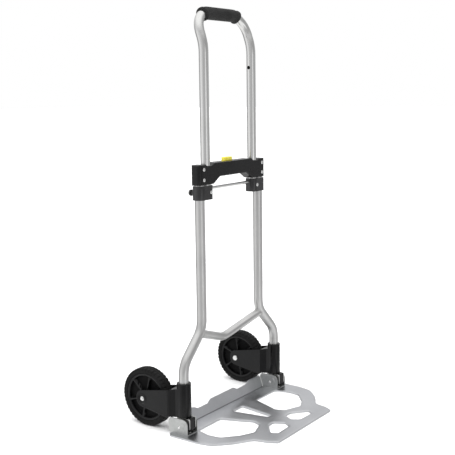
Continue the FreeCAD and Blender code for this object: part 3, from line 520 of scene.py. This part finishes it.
def top_loops(node, height):
    """Boundary loops of a CAD node's upward faces at a height."""
    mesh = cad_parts[node].data
    places, edges, upward = {}, {}, 0.9
    for polygon in mesh.polygons:
        corners = [mesh.vertices[v].co for v in polygon.vertices]
        if polygon.normal.z < upward or any(abs(c.z - height) > FLAT_GAP for c in corners):
            continue
        keys = [(round(c.x, PLACES), round(c.y, PLACES)) for c in corners]
        for key, corner in zip(keys, corners):
            places.setdefault(key, corner.xy)
        for a, b in steps_round(keys):
            if not edges.pop((b, a), False):
                edges[(a, b)] = True
    return [[places[key] for key in loop] for loop in followed(dict(list(edges)))]


def inside(point, loop):
    """Whether a flat point lies within a closed loop."""
    crossings = False
    for a, b in steps_round(loop):
        if (a.y > point.y) != (b.y > point.y):
            if point.x < (b.x - a.x) * (point.y - a.y) / (b.y - a.y) + a.x:
                crossings = not crossings
    return crossings


def rim_profile(plate_top, bead):
    """Distance inwards and height of the rolled rim's section and of the bead beside it."""
    foot, radius, steps = 0.15 * MM, 1.5 * MM, 5
    profile = [(0.0, foot), (0.0, plate_top - radius)]
    for k in range(1, steps + 1):
        angle = math.pi / 2 * k / steps
        profile.append((radius * (1 - math.cos(angle)), plate_top - radius * (1 - math.sin(angle))))
    rise = ((1.0, 0.0), (1.6, 0.25), (2.2, 0.75), (2.8, 1.0))
    return profile + [(radius + inwards * MM, plate_top + share * bead) for inwards, share in rise]


def toe_plate_piece():
    """Pressed sheet: rolled rims round every edge, a raised bead along the strips."""
    plate_top, bead, edge_step = 4 * MM, 0.5 * MM, 2 * MM
    pitch, row_share, clear_share = 4 * MM, 0.866, 0.6
    fewest_corners, fewest_points, merged_within = 4, 21, 1e-7
    loops = [resampled(loop, edge_step, 1) for loop in top_loops("toe_plate", plate_top)
             if len(loop) >= fewest_corners]
    loops = [loop for loop in loops if len(loop) >= fewest_points]
    profile = rim_profile(plate_top, bead)
    verts, faces, rings = [], [], []
    for loop in loops:
        count, first = len(loop), len(verts)
        for k, here in enumerate(loop):
            along = (loop[(k + 1) % count] - loop[k - 1]).normalized()
            inward = Vector((-along.y, along.x))
            verts += [Vector((*(here + inward * distance), z)) for distance, z in profile]
        strip = grid_faces(count, len(profile), wrap_rows=True)
        faces += [tuple(first + v for v in reversed(quad)) for quad in strip]
        rings.append([first + k * len(profile) + len(profile) - 1 for k in range(count)])

    edge_points = [i for ring in rings for i in ring]
    tree = KDTree(len(edge_points))
    for order, i in enumerate(edge_points):
        tree.insert((verts[i].x, verts[i].y, 0), order)
    tree.balance()
    flat = [[verts[i].xy for i in ring] for ring in rings]
    outer = max(flat, key=len)
    holes = [loop for loop in flat if loop is not outer]

    def in_sheet(point):
        return inside(point, outer) and not any(inside(point, hole) for hole in holes)

    low = Vector(map(min, zip(*outer)))
    high = Vector(map(max, zip(*outer)))
    points = [verts[i].xy for i in edge_points]
    for row in range(int((high.y - low.y) / (pitch * row_share)) + 1):
        y = low.y + row * pitch * row_share
        x = low.x + (pitch / 2 if row % 2 else 0)
        while x < high.x:
            if in_sheet(Vector((x, y))) and tree.find((x, y, 0))[2] > pitch * clear_share:
                points.append(Vector((x, y)))
            x += pitch
    borders, start = [], 0
    for ring in rings:
        borders += [(start + k, start + (k + 1) % len(ring)) for k in range(len(ring))]
        start += len(ring)
    placed, _, triangles, origins, _, _ = delaunay_2d_cdt(points, borders, [], 0, merged_within)
    index = []
    for point, origin in zip(placed, origins):
        if origin and origin[0] < len(edge_points):
            index.append(edge_points[origin[0]])
            continue
        index.append(len(verts))
        verts.append(Vector((point.x, point.y, plate_top + bead)))
    for triangle in triangles:
        middle = sum((placed[v] for v in triangle), Vector((0, 0))) / 3
        if in_sheet(middle):
            faces.append(tuple(index[v] for v in triangle))
    made = piece("toe_plate_pressed", verts, faces, "plate_aluminium", "toe_plate", ["toe_plate"])
    modifier(made, "SOLIDIFY", thickness=1.8 * MM, offset=-1, use_even_offset=False)


def flange_piece():
    """Rear flange: bent up from the sheet, leaning back, its top edge rounded, with two dips."""
    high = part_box("toe_plate")[1]
    fold_y, lean = high.y - 13.3 * MM, 11 * MM
    sheet, foot, bend = 2.2 * MM, 2.4 * MM, 1.2 * MM
    dip_depth, dip_start, dip_end = 8 * MM, (50 * MM, 71 * MM), (106 * MM, 132 * MM)
    corner_drop, corner_width = 5 * MM, 7 * MM
    columns, bend_steps, wall_steps = 185, 4, 9
    verts = []
    for c in range(columns):
        x = -FLANGE_HALF + 2 * FLANGE_HALF * c / (columns - 1)
        dip = smooth(abs(x), *dip_start) * (1 - smooth(abs(x), *dip_end))
        corner = smooth(abs(x), FLANGE_HALF - corner_width, FLANGE_HALF)
        peak = high.z - dip_depth * dip - corner_drop * corner * corner
        for k in range(bend_steps + 1):
            angle = math.pi / 2 * k / bend_steps
            verts.append(Vector((x, fold_y - bend * (1 - math.sin(angle)),
                                 foot + bend * (1 - math.cos(angle)))))
        for k in range(1, wall_steps + 1):
            z = foot + bend + (peak - foot - bend) * k / wall_steps
            verts.append(Vector((x, fold_y + lean * (z - foot) / (high.z - foot), z)))
    faces = grid_faces(columns, bend_steps + 1 + wall_steps)
    made = piece("toe_plate_flange", verts, faces, "plate_aluminium", "toe_plate")
    modifier(made, "SOLIDIFY", thickness=sheet, offset=-1)
    modifier(made, "BEVEL", width=0.7 * MM, segments=2, limit_method="ANGLE", angle_limit=math.radians(50))


toe_plate_piece()
flange_piece()


# ---------------------------------------------------------------- grip

def grip_piece():
    """Foam grip that follows the handle into its corners, with a thicker rolled lip at each end."""
    tube_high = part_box("handle_tube")[1]
    grip_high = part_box("handle_grip")[1]
    corner, straight = 51 * MM, 52 * MM
    lean, sweep = math.radians(18.6), math.radians(24)
    axis = Vector((0, tube_high.y - TUBE_RADIUS, tube_high.z - TUBE_RADIUS))
    drop = Vector((0, -math.sin(lean), -math.cos(lean)))
    out = Vector((0, math.cos(lean), -math.sin(lean)))
    body, lip, lip_length = grip_high.z - axis.z, 17.5 * MM, 7 * MM
    waist_depth, waist_length = 0.5 * MM, 12 * MM
    edge_depth, edge_length = 0.8 * MM, 1.6 * MM
    seam_depth, seam_width = 0.35 * MM, 0.02
    steps, count = 150, 96
    end_radii = (TUBE_RADIUS + 0.1 * MM, TUBE_RADIUS + 1.5 * MM, lip - 1.6 * MM, lip - 0.4 * MM)
    in_tube = 2

    half = straight + corner * sweep
    distances = [-half + 2 * half * k / steps for k in range(steps + 1)]
    distances = [-half] * len(end_radii) + distances + [half] * len(end_radii)
    last = len(distances) - 1
    stations, radii = [], []
    for index, along in enumerate(distances):
        side = math.copysign(1, along)
        turn = max(0.0, abs(along) - straight) / corner
        x = side * (min(abs(along), straight) + corner * math.sin(turn))
        place = axis + Vector((x, 0, 0)) + drop * (corner * (1 - math.cos(turn)))
        heading = Vector((math.cos(turn), 0, 0)) + drop * (side * math.sin(turn))
        stations.append((place, out, heading.cross(out).normalized()))
        from_end = half - abs(along)
        swell = (lip - body) * (1 - smooth(from_end, lip_length - 2 * MM, lip_length))
        edge = edge_depth * (1 - smooth(from_end, 0, edge_length))
        waist = waist_depth * (1 - smooth(from_end, lip_length, lip_length + waist_length))
        waist *= smooth(from_end, lip_length - 1 * MM, lip_length)
        place_in_end = min(index, last - index)
        at_end = place_in_end < len(end_radii)
        radii.append(end_radii[place_in_end] if at_end else body + swell - edge - waist)

    def radius_at(index, angle):
        """The grip's radius, with a thin seam along it outside the tube's hole."""
        if min(index, last - index) < in_tube:
            return radii[index]
        return radii[index] + seam_depth * (1 - smooth(abs(math.sin(angle / 2 + TURN / 8)), 0.0, seam_width))

    verts = swept(stations, count, radius_at)
    faces = grid_faces(len(stations), count, wrap_columns=True)
    piece("handle_grip_foam", verts, faces, "grip_rubber", "handle", ["handle_grip"])


grip_piece()


# ---------------------------------------------------------------- fasteners and welds

def screw_heads(node, body, slot):
    """Pan heads with a cross recess and a stub of shank, where the CAD node's screws are."""
    count, rings = 72, 22
    rise, roundness, back, shank = 2.2 * MM, 0.92, 2.53 * MM, 9 * MM
    recess_depth, arm_span, length_span = 1.5 * MM, (0.35 * MM, 0.65 * MM), (0.45, 0.6)

    def front(share, x, z):
        """Depth of the domed front and its recess below the top of the head."""
        dome = rise * (1 - math.sqrt(max(0.0, 1 - (roundness * share) ** 2)))
        in_arm = 1 - smooth(min(abs(x), abs(z)), *arm_span)
        return dome + recess_depth * in_arm * (1 - smooth(share, *length_span))

    stations = [(ring / rings, None) for ring in range(1, rings + 1)]
    stations += [(1.0, back), (0.5, back), (0.5, shank), (0.05, shank)]
    verts, faces = [], []
    for low, high in parts_of(node):
        centre, radius = (low + high) / 2, (high.x - low.x) / 2
        verts.append(Vector((centre.x, low.y + recess_depth, centre.z)))
        first = len(verts)
        for share, depth in stations:
            for angle in circle(count):
                x, z = share * radius * math.cos(angle), share * radius * math.sin(angle)
                verts.append(Vector((centre.x + x, low.y + (depth or front(share, x, z)), centre.z + z)))
        faces += [(first - 1, first + (k + 1) % count, first + k) for k in range(count)]
        faces += [tuple(first + v for v in f) for f in grid_faces(len(stations), count, wrap_columns=True)]
        faces.append(tuple(range(len(verts) - count, len(verts))))
    piece(node + "_recessed", verts, faces, slot, body, [node])


screw_heads("crossbar_screws", "frame", "bright_steel")
screw_heads("slider_screws", "handle", "bright_steel")


def weld_beads(tube, brace):
    """Rippled fillet weld where the brace's coped end meets a frame tube."""
    contact_gap, sectors, passes = 0.25 * MM, 36, 3
    bead_radius, outwards = 1.9 * MM, 0.6 * MM
    ripple_depth, ripple_rows, wander_depth, wander_step = 0.16, 9.0, 0.05, 1.7
    around, rows_per_step = 12, 6
    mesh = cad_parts[tube].data
    tree = BVHTree.FromPolygons([v.co for v in mesh.vertices], [p.vertices for p in mesh.polygons])
    touching = []
    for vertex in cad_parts[brace].data.vertices:
        _, normal, _, distance = tree.find_nearest(vertex.co)
        if distance is not None and distance < contact_gap:
            touching.append((vertex.co.copy(), normal))
    centre = sum((co for co, _ in touching), Vector()) / len(touching)
    facing = sum((normal for _, normal in touching), Vector()).normalized()
    first = facing.orthogonal().normalized()
    second = facing.cross(first)
    farthest = {}
    for co, _ in touching:
        a, b = (co - centre).dot(first), (co - centre).dot(second)
        sector = int((math.atan2(b, a) / TURN + 0.5) * sectors) % sectors
        reach = math.hypot(a, b)
        if sector not in farthest or farthest[sector][0] < reach:
            farthest[sector] = (reach, co)
    path = softened([farthest[k][1] for k in sorted(farthest)], passes)
    loop = [tree.find_nearest(place)[:2] for place in path]

    stations, radii = [], []
    for k, (co, normal) in enumerate(loop):
        following = loop[(k + 1) % len(loop)][0]
        along = (following - loop[k - 1][0]).normalized()
        for step in range(rows_per_step):
            place = co.lerp(following, step / rows_per_step)
            away = (place - centre).normalized()
            ripple = ripple_depth * math.sin(TURN * len(radii) / ripple_rows)
            wander = wander_depth * math.sin(len(radii) * wander_step)
            stations.append((place + away * outwards, along.cross(normal).normalized(), normal))
            radii.append(bead_radius * (1.0 + ripple + wander))
    verts = swept(stations, around, lambda row, angle: radii[row])
    faces = grid_faces(len(stations), around, wrap_rows=True, wrap_columns=True)
    piece("weld_" + tube, verts, faces, "steel_tube", "frame")


for name, _ in SIDES:
    weld_beads("frame_tube_" + name, "frame_brace")


# ---------------------------------------------------------------- wheel bracket details

def cheek_face(name, side):
    """X of a wheel bracket's flat outer cheek."""
    low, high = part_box("wheel_bracket_" + name)
    return low.x if side < 0 else high.x


def cheek_outline(node, face_x):
    """Boundary of a bracket's flat outer cheek, as points in the Y-Z plane."""
    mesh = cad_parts[node].data
    edges, sideways = set(), 0.99
    for polygon in mesh.polygons:
        corners = [mesh.vertices[v].co for v in polygon.vertices]
        if abs(polygon.normal.x) < sideways or any(abs(c.x - face_x) > FLAT_GAP for c in corners):
            continue
        keys = [(round(c.y, PLACES), round(c.z, PLACES)) for c in corners]
        for a, b in steps_round(keys):
            edges ^= {(b, a)} if (b, a) in edges else {(a, b)}
    loops = [[Vector(key) for key in loop] for loop in followed(dict(edges))]
    return max(loops, key=lambda loop: sum((b - a).length for a, b in steps_round(loop)))


def bracket_border(name, side):
    """Half-round rib just inside the edge of the outer cheek."""
    inset, half_width, sunk, bulge = 3.2 * MM, 1.3 * MM, 0.45 * MM, 1.35 * MM
    section, step, passes = 9, 2.5 * MM, 2
    face_x = cheek_face(name, side)
    outline = resampled(cheek_outline("wheel_bracket_" + name, face_x), step, passes)
    centre = sum(outline, Vector((0, 0))) / len(outline)
    count = len(outline)
    verts = []
    for k, here in enumerate(outline):
        along = (outline[(k + 1) % count] - outline[k - 1]).normalized()
        inward = Vector((-along.y, along.x))
        if inward.dot(centre - here) < 0:
            inward = -inward
        for j in range(section):
            angle = math.pi * j / (section - 1)
            place = here + inward * (inset + half_width * math.cos(angle))
            verts.append(Vector((face_x + side * (bulge * math.sin(angle) - sunk), *place)))
    faces = grid_faces(count, section, wrap_rows=True, wrap_columns=True)
    piece("wheel_bracket_%s_border" % name, verts, faces, "black_plastic", "fork_" + name)


def bracket_boss(name, side):
    """Stepped boss round the axle on the outer cheek."""
    low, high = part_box("wheel_" + name)
    hub = (low + high) / 2
    outline = [(-0.6, 9.5), (0.9, 9.5), (1.2, 9.9), (1.2, 11.0), (0.9, 11.4), (0.35, 11.6), (0.35, 14.0),
               (0.1, 14.3), (-0.6, 14.5)]
    profile, steps = [(rise * MM, radius * MM) for rise, radius in outline], 96
    centre = Vector((cheek_face(name, side), hub.y, hub.z))
    turned_piece("wheel_bracket_%s_boss" % name, profile, steps, centre, side, "black_plastic", "fork_" + name)


for name, side in SIDES:
    bracket_boss(name, side)
    bracket_border(name, side)

dress_cad()


# ---------------------------------------------------------------- stage, light and camera

def floor_piece():
    """Pale floor; it lights the cart from below, and metal mirrors the surround instead of it."""
    size = 40.0
    mesh = bpy.data.meshes.new("floor")
    mesh.from_pydata([(-size, -size, 0), (size, -size, 0), (size, size, 0), (-size, size, 0)], [],
                     [(0, 1, 2, 3)])
    made = bpy.data.objects.new("floor", mesh)
    bpy.context.scene.collection.objects.link(made)
    paper = Finish("floor_paper")
    paper.colour(paper.mixed(paper.noise(scale=3, detail=2), (0.88, 0.88, 0.88), (0.91, 0.91, 0.91)))
    paper.shader.inputs["Roughness"].default_value = 0.9
    mesh.materials.append(paper.material)
    made.visible_glossy = False
    made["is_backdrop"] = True


def studio_world():
    """Pale surround with softer and brighter upright bands, as studio walls and cards give."""
    world = bpy.data.worlds.new("studio")
    bpy.context.scene.world = world
    world.use_nodes = True
    nodes, links = world.node_tree.nodes, world.node_tree.links
    nodes.clear()
    direction = nodes.new("ShaderNodeTexCoord").outputs["Generated"]
    around = nodes.new("ShaderNodeTexGradient")
    around.gradient_type = "RADIAL"
    links.new(direction, around.inputs["Vector"])
    height = nodes.new("ShaderNodeSeparateXYZ")
    links.new(direction, height.inputs["Vector"])

    def ring_of_cards(stops):
        """Grey level all the way round, from stops of (share of a turn, level)."""
        cool = 1.01
        bands = nodes.new("ShaderNodeValToRGB")
        ramp = bands.color_ramp.elements
        while len(ramp) < len(stops):
            ramp.new(0.5)
        for element, (place, level) in zip(ramp, stops):
            element.position = place
            element.color = (level, level, level * cool, 1)
        links.new(around.outputs["Fac"], bands.inputs["Fac"])
        return bands.outputs["Color"]

    def toward(start, end, before, after):
        """One colour that goes over into the next between two heights; the next may be a grey level."""
        share = nodes.new("ShaderNodeMapRange")
        links.new(height.outputs["Z"], share.inputs["Value"])
        share.inputs["From Min"].default_value = start
        share.inputs["From Max"].default_value = end
        mix = nodes.new("ShaderNodeMix")
        mix.data_type = "RGBA"
        links.new(share.outputs["Result"], mix.inputs["Factor"])
        links.new(before, mix.inputs[MIX_A])
        if isinstance(after, float):
            mix.inputs[MIX_B].default_value = (after, after, after, 1)
        else:
            links.new(after, mix.inputs[MIX_B])
        return mix.outputs[MIX_RESULT]

    def background(colour):
        made = nodes.new("ShaderNodeBackground")
        if isinstance(colour, tuple):
            made.inputs["Color"].default_value = colour
        else:
            links.new(colour, made.inputs["Color"])
        return made.outputs["Background"]

    level_ring = ring_of_cards([(0.0, 0.8), (0.04, 0.55), (0.13, 0.55), (0.18, 0.65), (0.20, 1.35),
                                (0.235, 1.35), (0.255, 0.65), (0.31, 0.46), (0.40, 0.55), (0.48, 0.66),
                                (0.60, 0.62), (0.70, 0.3), (0.79, 0.45), (0.86, 1.15), (0.91, 1.1),
                                (1.0, 0.8)])
    upper_ring = ring_of_cards([(0.0, 0.8), (0.15, 0.5), (0.25, 0.44), (0.45, 0.44), (0.54, 0.66),
                                (0.66, 0.78), (0.80, 0.7), (0.90, 0.9), (1.0, 0.8)])
    sides = toward(-0.08, 0.28, level_ring, upper_ring)
    overhead = toward(0.4, 0.85, sides, 1.25)
    surround = background(toward(-0.2, -0.6, overhead, 1.15))
    backdrop = background((1, 1, 1, 1))
    seen = nodes.new("ShaderNodeLightPath").outputs["Is Camera Ray"]
    both = nodes.new("ShaderNodeMixShader")
    links.new(seen, both.inputs["Fac"])
    links.new(surround, both.inputs[1])
    links.new(backdrop, both.inputs[2])
    output = nodes.new("ShaderNodeOutputWorld")
    links.new(both.outputs["Shader"], output.inputs["Surface"])


def lamp(name, kind, energy, rotation, place=(0, 0, 0), **settings):
    """Light that metal doesn't mirror."""
    data = bpy.data.lights.new(name, kind)
    data.energy = energy
    for key, value in settings.items():
        setattr(data, key, value)
    made = bpy.data.objects.new(name, data)
    made.matrix_world = Matrix.Translation(place) @ rotation.to_matrix().to_4x4()
    made.visible_glossy = False
    bpy.context.scene.collection.objects.link(made)


def lights():
    """Broad light from nearly straight above, and a soft key light from the rear left."""
    tilt, spread, strength = Euler((math.radians(8), math.radians(-10), 0)), math.radians(70), 2.2
    lamp("overhead", "SUN", strength, tilt, angle=spread)
    place, target, watts = Vector((-2.6, 1.0, 1.9)), Vector((0, 0, 0.5)), 22
    lamp("key", "AREA", watts, (target - place).to_track_quat("-Z", "Y"), place,
         shape="RECTANGLE", size=1.0, size_y=1.6)


def camera():
    """Looks down at the cart from its front left, as a product photograph does."""
    place = Vector((-1.82775, -1.28889, 0.84484))
    yaw, pitch, roll = 0.62435, -0.15398, -0.01302
    forward = Vector((math.cos(pitch) * math.cos(yaw), math.cos(pitch) * math.sin(yaw), math.sin(pitch)))
    level = Vector((math.sin(yaw), -math.cos(yaw), 0))
    over = level.cross(forward)
    right = level * math.cos(roll) + over * math.sin(roll)
    up = over * math.cos(roll) - level * math.sin(roll)
    data = bpy.data.cameras.new("camera")
    data.sensor_width, data.lens = 36.0, 68.77
    data.clip_start, data.clip_end = 0.05, 200
    made = bpy.data.objects.new("camera", data)
    rotation = Matrix((right, up, -forward)).transposed().to_4x4()
    made.matrix_world = Matrix.Translation(place) @ rotation
    bpy.context.scene.collection.objects.link(made)
    bpy.context.scene.camera = made


floor_piece()
studio_world()
lights()
camera()
bpy.context.scene.view_settings.view_transform = "Standard"

low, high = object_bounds()
